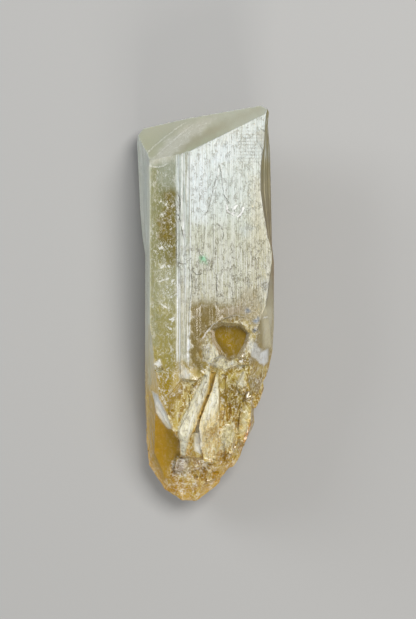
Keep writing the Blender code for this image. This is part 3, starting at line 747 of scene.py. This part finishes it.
@dataclass
class CrystalBody:
    """The crystal itself: a fine mesh over the CAD solid, with relief, tones and one finish."""

    node: str = "danburite_crystal"
    name: str = "crystal_body"
    slot: str = "honey_crystal"
    remesh_depth: int = 8
    remesh_fill: float = 0.99
    weld: float = 0.001
    seed: int = 11
    crest_x: float = -2.2
    shoulder_x: float = -4.3
    edge_feather: float = 0.15
    dome_normal: Triple = (-0.333, 0.785, 0.523)
    growth_depth: float = 0.09
    etch_depth: float = 0.05
    hackle_depth: float = 0.17
    crack_depth: float = 0.08
    clear_relief: float = 0.08  # share of the fine relief that clear places keep
    clear_calm: float = 0.8  # how much smoother a clear place breaks
    clear_frost: float = 0.3  # the least frost of a place that isn't clear
    end_relief: float = 0.6  # share of the break's relief at the very end
    broken_etch: float = 0.5
    etch_range: Point = (0.85, 1.6)
    break_feather: float = 0.5
    ripple_feather: float = 0.7
    no_stroke: float = 9.0  # a distance at which no stroke counts
    stroke_reach: Point = (0.6, 0.35)  # how far from a stroke it counts, from none to all
    stroke_taper: float = 0.12  # share of a stroke's length at each end
    sharp_angle: float = math.radians(28.0)
    base_z: Point = (0.2, 0.5)  # each pair: where a change begins and where it is whole
    top_z: Point = (5.0, 8.0)
    wall_z: Point = (8.5, 10.5)
    end_y: Point = (-24.5, -21.5)
    bundle_fade_y: Point = (-6.5, -10.5)
    etched_y: tuple[Point, Point] = ((11.0, 6.0), (-1.5, 1.0))
    ripple_area: Path = path("4.9 26.3, 8.8 25.1, 8.5 20.6, 4.9 21.5")
    break_line: Path = path("12 -9.3, 5 -9, 1.9 -10, 0.4 -9.4, -3.4 -11.5, -4.6 -15, -6.2 -17, "
                            "-8 -13.2, -12 -12.4, -12 -32, 12 -32")

    def build(self) -> bpy.types.Object:
        """Makes the fine mesh, paints its attributes and carves its relief.

        Returns:
            The finished piece.
        """
        body = place_object(self.name, self.fine_mesh())
        self.paint(body.data)
        run_tree(body, self.relief_tree(), {
            "Growth Depth": self.growth_depth * MM,
            "Etch Depth": self.etch_depth * MM,
            "Hackle Depth": self.hackle_depth * MM,
            "Crack Depth": self.crack_depth * MM,
            "Seed": float(self.seed),
        })
        body.data.polygons.foreach_set("use_smooth", [True] * len(body.data.polygons))
        body.data.set_sharp_from_angle(angle=self.sharp_angle)
        return body

    def fine_mesh(self) -> bpy.types.Mesh:
        """Merges a copy of the solid's mesh and remeshes it into small even quads.

        Returns:
            The fine mesh, kept inside the solid's box.
        """
        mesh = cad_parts[self.node].data.copy()
        merged = bmesh.new()
        merged.from_mesh(mesh)
        bmesh.ops.remove_doubles(merged, verts=merged.verts, dist=self.weld * MM)
        merged.to_mesh(mesh)
        merged.free()
        mesh.materials.clear()
        helper = place_object("fine", mesh)
        remesh = helper.modifiers.new("fine", "REMESH")
        remesh.mode = "SHARP"
        remesh.octree_depth = self.remesh_depth
        remesh.scale = self.remesh_fill
        remesh.use_remove_disconnected = True
        fine = evaluated_mesh(helper)
        bpy.data.objects.remove(helper)
        places = read_vectors(fine.vertices, "co")
        places = np.clip(places, *(np.array(corner) for corner in CAD_BOUNDS))
        fine.vertices.foreach_set("co", places.ravel())
        return fine

    def paint(self, mesh: bpy.types.Mesh) -> None:
        """Writes the attributes that the relief and the finish read.

        Args:
            mesh: The fine mesh before its relief.
        """
        places = read_vectors(mesh.vertices, "co") / MM
        normals = read_vectors(mesh.vertex_normals, "vector")
        plan, y, z = places[:, :2], places[:, 1], places[:, 2]
        faces = self.face_shares(places, normals)
        upward = smooth(0.1, 0.5, normals[:, 2]) * smooth(*self.top_z, z)
        look = self.looks(places, faces, upward)
        frost, fleck, speckle = look[:, 3], look[:, 4], look[:, 5]

        exposed = smooth(*self.base_z, z)
        matt = self.clear_relief + (1.0 - self.clear_relief) * frost
        broken = inside(plan, self.break_line, self.break_feather)
        clear = np.clip(1.0 - frost / self.clear_frost, 0.0, 1.0)
        ending = self.end_relief + (1.0 - self.end_relief) * smooth(*self.end_y, y)
        hackle = np.maximum(broken * (1.0 - self.clear_calm * clear) * ending,
                            faces[Face.BROAD] * 2.0 * (fleck - 0.5))
        growth = sum(WEAR[face].growth * share for face, share in faces.items())
        growth *= 1.0 - faces[Face.BUNDLE] * smooth(*self.bundle_fade_y, y)
        growth *= (1.0 - broken) * smooth(-0.5, 0.2, normals[:, 2])
        etch = sum(WEAR[face].etch * share for face, share in faces.items())
        (least, most), (above, below) = self.etch_range, self.etched_y
        etch *= least + (most - least) * smooth(*above, y) * smooth(*below, y)
        side, strength = self.stroke_fields(plan)
        layers = {
            "frost": frost,
            "fleck": fleck,
            "hackle": hackle * exposed,
            "growth": growth * matt * exposed,
            "etch": (etch * matt * (1.0 - self.broken_etch * broken) + speckle) * exposed,
            "ripple": inside(plan, self.ripple_area, self.ripple_feather) * faces[Face.BROAD],
            "line_side": side,
            "line_strength": strength * upward,
        }
        for name, values in layers.items():
            mesh.attributes.new(name, "FLOAT", "POINT").data.foreach_set("value", values)
        tint = mesh.attributes.new("tint", "FLOAT_VECTOR", "POINT")
        tint.data.foreach_set("vector", look[:, :3].ravel())

    def looks(self, places: Array, faces: dict[Face, Array], upward: Array) -> Array:
        """The look of each vertex, a row each: the tones of the faces under the patches.

        Args:
            places: The vertices.
            faces: The share of each kind of face.
            upward: How far each vertex belongs to the upper surface.

        Returns:
            The linear colour, the frost, the flecks and the specks in columns.
        """
        plan = places[:, :2]
        look = sum(share[:, None] * TONES[face].along(places[:, 1])
                   for face, share in faces.items())
        high = np.maximum(upward, smooth(*self.wall_z, places[:, 2]))
        uneven = ragged(plan)
        for patch in PATCHES:
            reach, seen = (high, plan) if patch.steep else (upward, uneven)
            share = inside(seen, patch.outline, patch.feather) * reach * patch.strength
            share = share[:, None]
            look = look * (1.0 - share) + np.array(patch.look.row()) * share
        return look

    def face_shares(self, places: Array, normals: Array) -> dict[Face, Array]:
        """Sorts the surface into kinds of face.

        Args:
            places: The vertices.
            normals: Their normals.

        Returns:
            How much of each vertex belongs to each kind of face; the shares add up to 1.
        """
        up = smooth(0.55, 0.85, normals[:, 2])
        dome = smooth(0.90, 0.97, normals @ np.array(self.dome_normal))
        flat = up * (1.0 - dome)
        steep = (1.0 - up) * (1.0 - dome)
        right_of_crest, right_of_shoulder = (
            smooth(edge - self.edge_feather, edge + self.edge_feather, places[:, 0])
            for edge in (self.crest_x, self.shoulder_x))
        shares = {
            Face.DOME: dome,
            Face.BROAD: flat * right_of_crest,
            Face.BUNDLE: flat * (right_of_shoulder - right_of_crest),
            Face.NARROW: flat * (1.0 - right_of_shoulder),
            Face.LEFT: steep * smooth(0.6, 0.85, -normals[:, 0]),
            Face.RIGHT: steep * smooth(0.6, 0.85, normals[:, 0]),
        }
        shares[Face.SIDES] = 1.0 - sum(shares.values())
        return shares

    def stroke_fields(self, plan: Array) -> tuple[Array, Array]:
        """Measures how near and how strong the strokes are.

        Args:
            plan: The vertices, one (x, y) row each.

        Returns:
            The signed distance to the nearest stroke, and how strong that stroke is.
        """
        rows = np.arange(len(plan))
        nearest = np.full(len(plan), self.no_stroke)
        side = nearest.copy()
        strength = np.zeros(len(plan))
        for stroke in STROKES:
            distance, sides, share = segment_distances(plan, stroke.line)
            best = distance.argmin(1)
            closest = distance[rows, best]
            along = (best + share[rows, best]) / distance.shape[1]
            taper = smooth(0.0, self.stroke_taper, along)
            taper *= smooth(1.0, 1.0 - self.stroke_taper, along)
            reach = smooth(*self.stroke_reach, closest) * taper * stroke.strength
            closer = closest < nearest
            nearest = np.where(closer, closest, nearest)
            side = np.where(closer, closest * sides[rows, best], side)
            strength = np.where(closer, reach, strength)
        return side, strength

    def relief_tree(self) -> bpy.types.NodeTree:
        """Presses growth steps, etching and a hackly break into the surface.

        Returns:
            The Geometry Nodes tree that does it.
        """
        canvas, given = geometry_tree("crystal relief", {
            "Growth Depth": 0.0001, "Etch Depth": 0.00005, "Hackle Depth": 0.0003,
            "Crack Depth": 0.00008, "Seed": 1.0})
        position = canvas.add("GeometryNodeInputPosition").outputs[0]
        shift = canvas.add("ShaderNodeCombineXYZ", {2: given["Seed"]}).outputs[0]
        place = canvas.vector("ADD", canvas.scaled(position, TO_MM), shift)

        def layer(name: str) -> Any:
            """The value of one painted attribute."""
            return canvas.add("GeometryNodeInputNamedAttribute", {"Name": name},
                              data_type="FLOAT").outputs["Attribute"]

        bands = canvas.noise(place, (1.5, 0.03, 1.5), 3.0, 0.55)
        lines = canvas.noise(place, (3.6, 0.16, 3.6), 2.0, 0.6)
        growth = canvas.math("ADD", canvas.step(bands, 0.36, 0.64),
                             canvas.times(canvas.step(lines, 0.4, 0.7), 0.45))
        etch = canvas.noise(place, (1.7, 1.1, 1.7), 4.0, 0.65)
        cells = canvas.cells(place, FACET_SCALE)
        tilt = canvas.vector("ADD", cells["Color"], (-0.5, -0.5, -0.5))
        from_middle = canvas.vector("SUBTRACT", canvas.scaled(place, FACET_SCALE),
                                    cells["Position"])
        facet = canvas.add("ShaderNodeVectorMath", {0: tilt, 1: from_middle},
                           operation="DOT_PRODUCT").outputs["Value"]
        hackle = canvas.math("ADD", canvas.times(facet, 2.2), canvas.times(etch, 0.3))
        side = canvas.math("ABSOLUTE", layer("line_side"))
        groove = canvas.times(canvas.step(side, 0.25, 0.0),
                              canvas.most(layer("line_strength"), 0.0))
        depth = canvas.fold(
            "ADD",
            canvas.times(growth, given["Growth Depth"], layer("growth")),
            canvas.times(etch, given["Etch Depth"], layer("etch")),
            canvas.times(canvas.most(hackle, 0.0), given["Hackle Depth"], layer("hackle")),
            canvas.times(groove, given["Crack Depth"]))
        normal = canvas.add("GeometryNodeInputNormal").outputs[0]
        carved = canvas.add("GeometryNodeSetPosition", {
            "Geometry": given["Geometry"],
            "Offset": canvas.along(normal, canvas.times(depth, -1.0))})
        return end_tree(canvas, carved.outputs[0], HoneyCrystal().material())

    def fit(self, body: bpy.types.Object) -> None:
        """Puts the finished piece in the frame in place of the solid.

        Args:
            body: The finished piece.
        """
        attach(body, "root")
        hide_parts(self.node)


@dataclass(frozen=True)
class Sheet:
    """A flat healed crack inside the crystal: a rectangle that white flakes lie in."""

    name: str
    middle: Triple
    length: float
    width: float
    fall: float  # how far the sheet drops for each millimetre to the right
    dip: float = 0.0  # how far it drops for each millimetre towards the root

    def corners(self) -> list[Triple]:
        """Works out the rectangle's corners.

        Returns:
            The four corners, anticlockwise seen from above.
        """
        x, y, z = self.middle
        ways = ((-1, -1), (1, -1), (1, 1), (-1, 1))
        steps = [(way_x * self.width / 2, way_y * self.length / 2) for way_x, way_y in ways]
        return [(x + right, y + up, z - self.fall * right + self.dip * up)
                for right, up in steps]


@dataclass
class InnerVeils:
    """White flakes along healed cracks, seen through the clear narrow face and the root."""

    name: str = "inner_veils"
    slot: str = "honey_crystal"
    density: float = 6.0  # flakes for each square millimetre
    flake_size: float = 0.32
    flake_thickness: float = 0.14  # as a share of a flake's width
    spread: float = 0.5
    seed: int = 5
    sheets: tuple[Sheet, ...] = (
        Sheet("window top", (-6.1, 13.2, 12.5), 7.0, 1.7, -0.365),
        Sheet("window low", (-6.2, 6.8, 12.4), 3.6, 1.8, -0.365),
        Sheet("below the window", (-6.3, 1.4, 12.2), 6.0, 2.2, -0.365),
        Sheet("above the root", (-6.4, -7.2, 12.0), 4.6, 2.2, -0.365),
        Sheet("root veil", (0.5, -17.5, 7.6), 7.0, 4.5, 0.3, 0.5),
        Sheet("end veil", (-1.4, -24.6, 5.2), 4.0, 3.6, 0.1, 0.5),
    )

    def build(self) -> bpy.types.Object:
        """Scatters the flakes over the sheets.

        Returns:
            The finished piece.
        """
        corners = [corner for sheet in self.sheets for corner in sheet.corners()]
        faces = [tuple(range(first, first + 4)) for first in range(0, len(corners), 4)]
        mesh = bpy.data.meshes.new(self.name)
        mesh.from_pydata([Vector(corner) * MM for corner in corners], [], faces)
        veils = place_object(self.name, mesh)
        run_tree(veils, self.tree(), {
            "Density": self.density / MM ** 2,
            "Flake Size": self.flake_size * MM,
            "Flake Thickness": self.flake_thickness,
            "Spread": self.spread * MM,
            "Seed": self.seed,
        })
        return veils

    def tree(self) -> bpy.types.NodeTree:
        """Strews flat flakes over the faces of a mesh.

        Returns:
            The Geometry Nodes tree that does it.
        """
        canvas, given = geometry_tree("strewn flakes", {
            "Density": 3.0e6, "Flake Size": 0.0003, "Flake Thickness": 0.15, "Spread": 0.0005,
            "Seed": 0})

        def chance(low: Any, high: Any, turn: float) -> Any:
            """Draws a random number or vector for each flake.

            Args:
                low: The least value.
                high: The greatest value.
                turn: What is added to the seed, so that the draws differ.

            Returns:
                The drawn value.
            """
            kind, low_socket, output = (("FLOAT_VECTOR", 0, 0) if isinstance(low, tuple)
                                        else ("FLOAT", 2, 1))
            seed = canvas.math("ADD", given["Seed"], turn)
            return canvas.add("FunctionNodeRandomValue", {
                low_socket: low, low_socket + 1: high, "Seed": seed},
                data_type=kind).outputs[output]

        points = canvas.add("GeometryNodeDistributePointsOnFaces", {
            "Mesh": given["Geometry"], "Density": given["Density"],
            "Seed": given["Seed"]}).outputs
        lift = canvas.times(chance(-1.0, 1.0, 1.0), given["Spread"])
        loose = canvas.add("GeometryNodeSetPosition", {
            "Geometry": points["Points"], "Offset": canvas.along(points["Normal"], lift)})
        ball = canvas.add("GeometryNodeMeshIcoSphere", {
            "Radius": given["Flake Size"], "Subdivisions": 1})
        flat = canvas.add("ShaderNodeCombineXYZ", {0: 1.0, 1: 0.7, 2: given["Flake Thickness"]})
        flake = canvas.add("GeometryNodeTransform", {
            "Geometry": ball.outputs["Mesh"], "Scale": flat.outputs[0]})
        tilt = chance((-0.6, -0.6, -math.pi), (0.6, 0.6, math.pi), 2.0)
        turned = canvas.add("FunctionNodeRotateRotation", {
            "Rotation": points["Rotation"],
            "Rotate By": canvas.add("FunctionNodeEulerToRotation", {0: tilt}).outputs[0]},
            rotation_space="LOCAL")
        strewn = canvas.add("GeometryNodeInstanceOnPoints", {
            "Points": loose.outputs[0], "Instance": flake.outputs[0],
            "Rotation": turned.outputs[0],
            "Scale": chance((0.25, 0.25, 0.5), (1.5, 1.2, 1.0), 3.0)})
        return end_tree(canvas, strewn.outputs[0], VeilWhite().material())

    def fit(self, veils: bpy.types.Object) -> None:
        """Puts the flakes in the frame."""
        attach(veils, "root")


# ---------------------------------------------------------------- finishes

def etched_skin() -> bpy.types.NodeTree:
    """A shader group with the threads, wrinkles, ripples and fine cracks of an etched face.

    Returns:
        The group. It takes coordinates in millimetres and puts out dark marks, the lit and the
        shaded sides of threads and wrinkles, growth striae, ripples, and a height for a bump.
    """
    canvas, place = shader_group("etched skin")

    def raised(scale: Triple, shift: Triple) -> tuple[Any, Any]:
        """Makes a noise and finds where it rises.

        Args:
            scale: The noise's scale for each axis.
            shift: The short way to look along.

        Returns:
            The noise, and how much it rises over that way.
        """
        here, there = (canvas.noise(at, scale, 2.0, 0.62, 0.5)
                       for at in (place, canvas.vector("ADD", place, shift)))
        return here, canvas.math("SUBTRACT", there, here)

    threads, thread_rise = raised((4.6, 0.24, 4.6), (0.08, 0.02, 0.0))
    wrinkles, wrinkle_rise = raised((3.4, 2.6, 3.4), (0.06, 0.08, 0.0))
    streaks = canvas.noise(place, (1.8, 0.12, 1.8), 2.0, 0.6)
    light = canvas.most(canvas.step(thread_rise, 0.03, 0.10),
                        canvas.times(canvas.step(wrinkle_rise, 0.04, 0.11), 0.8),
                        canvas.times(canvas.step(streaks, 0.52, 0.66), 0.6))
    shade = canvas.most(canvas.step(thread_rise, -0.04, -0.11),
                        canvas.times(canvas.step(wrinkle_rise, -0.05, -0.12), 0.7),
                        canvas.times(canvas.step(streaks, 0.46, 0.32), 0.5))
    bent = canvas.bent(place, 0.9, 2.0, 1.6)
    marks = []
    for scale, width, rarity in (((1.5, 0.42, 1.5), 0.05, 0.50), ((3.2, 2.0, 3.2), 0.10, 0.51)):
        gate = canvas.noise(canvas.scaled(place, (1.6, 0.9, 1.6)), rarity * 2.0, 3.0, 0.65)
        marks.append(canvas.seams(bent, scale, width, 0.25,
                                  canvas.step(gate, rarity, rarity + 0.08)))
    wave = canvas.add("ShaderNodeTexWave", {
        "Vector": canvas.scaled(place, (0.3, 1.0, 0.0)), "Scale": 0.62, "Distortion": 1.4,
        "Detail": 0.0, "Detail Scale": 0.5}, bands_direction="Y")
    mark = canvas.most(*marks)
    height = canvas.math("ADD", threads, canvas.times(wrinkles, 0.9))
    return end_group(canvas, {
        "Marks": mark, "Light": light, "Shade": shade,
        "Striae": canvas.noise(place, (5.0, 0.05, 5.0), 2.0, 0.6),
        "Ripples": wave.outputs["Fac"],
        "Height": canvas.math("SUBTRACT", height, canvas.times(mark, 0.5))})


def flawed_glass() -> bpy.types.NodeTree:
    """A shader group with the flecks, fracture lines and facets of flawed crystal.

    Returns:
        The group. It takes coordinates in millimetres and puts out white flecks, bright lines
        along fractures, partly white edges and partly painted sparkle, and a tone for each broken
        facet, partly painted light and shade on the facets.
    """
    canvas, place = shader_group("flawed glass")
    clusters = canvas.step(canvas.noise(place, (0.55, 0.40, 0.55), 2.0, 0.6), 0.44, 0.56, 0.15)
    large = canvas.step(canvas.noise(place, (1.5, 1.0, 1.5), 4.0, 0.8), 0.54, 0.60)
    small = canvas.step(canvas.noise(place, (3.6, 2.4, 3.6), 1.0, 0.6, 0.8), 0.65, 0.70)
    bent = canvas.bent(place, 1.1, 3.0, 1.3)
    lines = []
    for scale, width in (((0.9, 0.45, 0.9), 0.05), ((2.2, 1.1, 2.2), 0.09)):
        gate = canvas.noise(canvas.scaled(place, scale), 1.3, 2.0, 0.6)
        lines.append(canvas.seams(bent, scale, width, 0.2, canvas.step(gate, 0.46, 0.54)))

    def tone(scale: Triple, channel: int) -> Any:
        """A random number for each broken facet."""
        cells = canvas.cells(bent, scale)
        return canvas.add("ShaderNodeSeparateColor", {0: cells["Color"]}).outputs[channel]

    splinters = tone(tuple(2.2 * size for size in FACET_SCALE), 1)
    return end_group(canvas, {
        "Flecks": canvas.times(canvas.most(large, canvas.times(small, 0.8)), clusters),
        "Lines": canvas.most(*lines),
        "Facets": canvas.math("MULTIPLY_ADD", tone(FACET_SCALE, 0), 0.5,
                              canvas.times(splinters, 0.5))})


@dataclass(frozen=True)
class HoneyCrystal:
    """Clear to frosted honey danburite. Its shares say how strongly each effect covers."""

    name: str = "honey_danburite"
    refraction: float = 1.63
    transmission: float = 0.5
    specular: float = 0.25
    clear_roughness: float = 0.08
    frosted_roughness: float = 0.50
    absorption_colour: Triple = (0.93, 0.74, 0.30)
    absorption_density: float = 55.0
    bump_distance: float = 0.00020
    bump_strength: float = 0.8
    light_share: float = 0.62
    shade_share: float = 0.42
    striae_share: float = 0.80
    groove_share: float = 0.75  # of the striae
    ripple_share: float = 0.45
    mark_share: float = 0.60
    fleck_share: float = 0.95
    line_share: float = 0.90
    crack_share: float = 0.80
    crack_width: float = 0.07
    scratch_width: float = 0.20
    honey: Triple = (0.84, 0.74, 0.34)
    pale_honey: Triple = (0.93, 0.80, 0.30)
    thread_shade: Triple = (0.40, 0.38, 0.24)
    groove_shade: Triple = (0.36, 0.36, 0.24)
    thread_light: Triple = (0.97, 0.99, 0.97)
    ripple_shade: Triple = (0.45, 0.47, 0.42)
    mark_brown: Triple = (0.22, 0.17, 0.07)
    fleck_white: Triple = (1.0, 1.0, 0.95)
    line_white: Triple = (1.0, 1.0, 0.94)
    line_gold: Triple = (1.0, 0.93, 0.58)
    # The white of the white strokes, and of the painted highlight beside the dark cracks.
    scratch_and_lip_highlight_white: Triple = (1.0, 1.0, 0.96)
    crack_brown: Triple = (0.10, 0.09, 0.04)

    def material(self) -> bpy.types.Material:
        """Builds the material.

        Returns:
            The material.
        """
        material, canvas, shader = principled(self.name)

        def layer(name: str, socket: str = "Fac") -> Any:
            """One painted attribute."""
            return canvas.add("ShaderNodeAttribute", attribute_name=name).outputs[socket]

        place = canvas.scaled(canvas.add("ShaderNodeTexCoord").outputs["Object"], TO_MM)
        skin, flaws = (canvas.add("ShaderNodeGroup", {"Coordinates": place}, node_tree=tree).outputs
                       for tree in (etched_skin(), flawed_glass()))
        etch, frost, fleck = layer("etch"), layer("frost"), layer("fleck")
        tint = layer("tint", "Vector")
        flaw = canvas.math("MINIMUM", canvas.times(layer("hackle"), fleck, 1.8), 1.0)
        grown = canvas.times(layer("growth"), canvas.step(frost, 0.1, 0.45), self.striae_share)
        flecks = canvas.times(flaws["Flecks"], fleck, self.fleck_share)
        # Bright lines along fractures: partly white fracture edges, partly painted sparkle.
        lines = canvas.times(flaws["Lines"], self.line_share,
                             canvas.most(flaw, canvas.times(fleck, 0.45)))
        crack, dark, bright = self.strokes(canvas, place, layer("line_side"),
                                           layer("line_strength"))
        # Partly painted light and shade on broken facets: each facet gets a darker or a paler
        # honey.
        facet = canvas.mix(canvas.step(flaws["Facets"], 0.36, 0.64),
                           canvas.mix(1.0, tint, self.honey, "MULTIPLY"),
                           canvas.mix(0.34, tint, self.pale_honey))
        colour = canvas.mix(flaw, tint, facet)
        effects = (
            (canvas.times(skin["Shade"], etch, self.shade_share), self.thread_shade),
            (canvas.times(canvas.step(skin["Striae"], 0.47, 0.38), grown, self.groove_share),
             self.groove_shade),
            (canvas.most(canvas.times(skin["Light"], etch, frost, self.light_share),
                         canvas.times(canvas.step(skin["Striae"], 0.52, 0.60), grown)),
             self.thread_light),
            (canvas.times(canvas.step(skin["Ripples"], 0.55, 0.2), layer("ripple"),
                          self.ripple_share), self.ripple_shade),
            (canvas.times(skin["Marks"], etch, self.mark_share), self.mark_brown),
            (flecks, self.fleck_white),
            (lines, canvas.mix(flaw, self.line_white, self.line_gold)),
            (bright, self.scratch_and_lip_highlight_white),
            (dark, self.crack_brown),
        )
        for mask, paint in effects:
            colour = canvas.mix(mask, colour, paint)

        matt = canvas.most(frost, canvas.times(canvas.most(flecks, lines, bright), 0.4))
        roughness = canvas.math("MULTIPLY_ADD", matt, self.frosted_roughness - self.clear_roughness,
                                self.clear_roughness)
        height = canvas.times(skin["Height"], etch, canvas.step(frost, 0.1, 0.5))
        bump = canvas.add("ShaderNodeBump", {
            "Strength": self.bump_strength, "Distance": self.bump_distance,
            "Height": canvas.math("SUBTRACT", height, crack)})
        canvas.put(shader, {
            "Base Color": colour, "Roughness": roughness, "Normal": bump.outputs[0],
            "Metallic": 0.0, "IOR": self.refraction, "Specular IOR Level": self.specular,
            "Transmission Weight": self.transmission})
        volume = canvas.add("ShaderNodeVolumeAbsorption", {
            "Color": (*self.absorption_colour, 1.0), "Density": self.absorption_density})
        canvas.put(material.node_tree.nodes["Material Output"], {"Volume": volume.outputs[0]})
        return material

    def strokes(self, canvas: Canvas, place: Any, side: Any, strength: Any) -> tuple[Any, ...]:
        """Masks of the strokes.

        Args:
            canvas: The material's canvas.
            place: Coordinates in millimetres.
            side: The signed distance to the nearest stroke.
            strength: How strong that stroke is, negative for a white one.

        Returns:
            The cracks themselves, all that is dark, and all that is bright: the white strokes, and
            a painted highlight along one lip of each dark crack.
        """
        wobble = canvas.math("SUBTRACT", canvas.noise(place, 2.5, 3.0, 0.7), 0.5)
        side = canvas.math("ADD", side, canvas.times(wobble, 0.5))
        away = canvas.math("ABSOLUTE", side)
        open_lines = canvas.most(strength, 0.0)
        white_lines = canvas.most(canvas.times(strength, -1.0), 0.0)
        gaps = canvas.step(canvas.noise(place, 1.4, 2.0, 0.6), 0.32, 0.46)

        def thin(distance: Any, offset: float) -> Any:
            """A thin line at an offset from a stroke."""
            gap = canvas.math("ABSOLUTE", canvas.math("SUBTRACT", distance, offset))
            return canvas.step(gap, self.crack_width, 0.01)

        crack = canvas.times(canvas.step(away, self.crack_width, 0.02), gaps, open_lines)
        edge = canvas.times(thin(away, self.scratch_width), 0.4, white_lines)
        # A painted highlight: a thin bright line beside one lip of each dark crack, as if the crack
        # caught the light.
        lip_highlight = canvas.times(thin(side, 2.0 * self.crack_width), gaps, 0.5, open_lines)
        dots = canvas.math("MULTIPLY_ADD", white_lines, 0.14, canvas.noise(place, 3.5, 2.0, 0.6))
        scratch = canvas.times(canvas.step(away, self.scratch_width, 0.03),
                               canvas.step(dots, 0.50, 0.62), white_lines)
        dark = canvas.times(canvas.most(crack, edge), self.crack_share)
        return crack, dark, canvas.most(lip_highlight, scratch)


@dataclass(frozen=True)
class VeilWhite:
    """The white of healed cracks, with a faint honey cast."""

    name: str = "veil_white"
    white: Triple = (0.94, 0.95, 0.90)
    honey: Triple = (0.86, 0.78, 0.55)
    roughness: tuple[float, float] = (0.25, 0.55)

    def material(self) -> bpy.types.Material:
        """Builds the material.

        Returns:
            The material.
        """
        material, canvas, shader = principled(self.name)
        place = canvas.scaled(canvas.add("ShaderNodeTexCoord").outputs["Object"], TO_MM)
        cloud = canvas.noise(place, 0.8, 3.0, 0.6)
        colour = canvas.mix(canvas.step(cloud, 0.40, 0.62), self.white, self.honey)
        canvas.put(shader, {
            "Base Color": colour, "Roughness": canvas.step(cloud, 0.35, 0.65, *self.roughness)})
        return material


# ---------------------------------------------------------------- studio

@dataclass(frozen=True)
class Lamp:
    """A square soft light that faces the crystal."""

    name: str
    place: Triple
    size: float
    power: float  # in watts
    colour: Triple  # linear

    def build(self) -> None:
        """Hangs the light."""
        data = bpy.data.lights.new(self.name, "AREA")
        data.size = self.size * MM
        data.energy = self.power
        data.color = self.colour
        lamp = place_object(self.name, data)
        lamp.location = Vector(self.place) * MM
        lamp.rotation_euler = (-lamp.location).to_track_quat("-Z", "Y").to_euler()


@dataclass
class Studio:
    """A pale table, soft lights and a camera that looks straight down on the crystal."""

    floor_size: float = 4000.0
    floor_colour: Triple = (136, 135, 133)
    floor_roughness: float = 0.6
    camera_place: Triple = (0.45, -0.71, 359.0)
    lens: float = 135.0
    sensor: float = 36.0
    clip_start: float = 10.0
    sky: Triple = (0.80, 0.84, 0.90)
    sky_strength: float = 0.34
    lamps: tuple[Lamp, ...] = (
        Lamp("key", (150.0, 150.0, 440.0), 240.0, 2.9, (1.0, 0.99, 0.97)),
        Lamp("side", (-340.0, 200.0, 190.0), 200.0, 1.4, (0.94, 0.97, 1.0)),
        Lamp("rim", (60.0, -360.0, 200.0), 160.0, 1.1, (1.0, 0.98, 0.94)),
    )

    def build(self) -> None:
        """Sets up the camera, the floor, the lights and the colour management."""
        self.camera()
        self.floor()
        for lamp in self.lamps:
            lamp.build()
        self.surroundings()
        bpy.context.scene.view_settings.view_transform = "Standard"

    def camera(self) -> None:
        """A long lens above the middle of the crystal."""
        data = bpy.data.cameras.new("camera")
        data.lens = self.lens
        data.sensor_width = self.sensor
        data.clip_start = self.clip_start * MM
        camera = place_object("camera", data)
        camera.location = Vector(self.camera_place) * MM
        bpy.context.scene.camera = camera

    def floor(self) -> None:
        """A plain pale table top under the crystal."""
        half = self.floor_size / 2 * MM
        mesh = bpy.data.meshes.new("floor")
        corners = [(-half, -half, 0.0), (half, -half, 0.0), (half, half, 0.0), (-half, half, 0.0)]
        mesh.from_pydata(corners, [], [(0, 1, 2, 3)])
        material, canvas, shader = principled("pale_table")
        canvas.put(shader, {
            "Base Color": (*srgb(self.floor_colour), 1.0), "Roughness": self.floor_roughness})
        mesh.materials.append(material)
        floor = place_object("floor", mesh)

    def surroundings(self) -> None:
        """An even, dim sky all round."""
        world = bpy.data.worlds.new("surroundings")
        world.use_nodes = True
        background = world.node_tree.nodes["Background"]
        background.inputs["Color"].default_value = (*self.sky, 1.0)
        background.inputs["Strength"].default_value = self.sky_strength
        bpy.context.scene.world = world


def main() -> None:
    """Builds the studio and the crystal and reports each piece."""
    logging.basicConfig(level=logging.INFO, format="%(message)s")
    Studio().build()
    for part in (CrystalBody(), InnerVeils()):
        piece = part.build()
        part.fit(piece)
        triangles = sum(len(face.vertices) - 2 for face in piece.data.polygons)
        LOG.info("%s: %d triangles", piece.name, triangles)


if __name__ == "__main__":
    main()
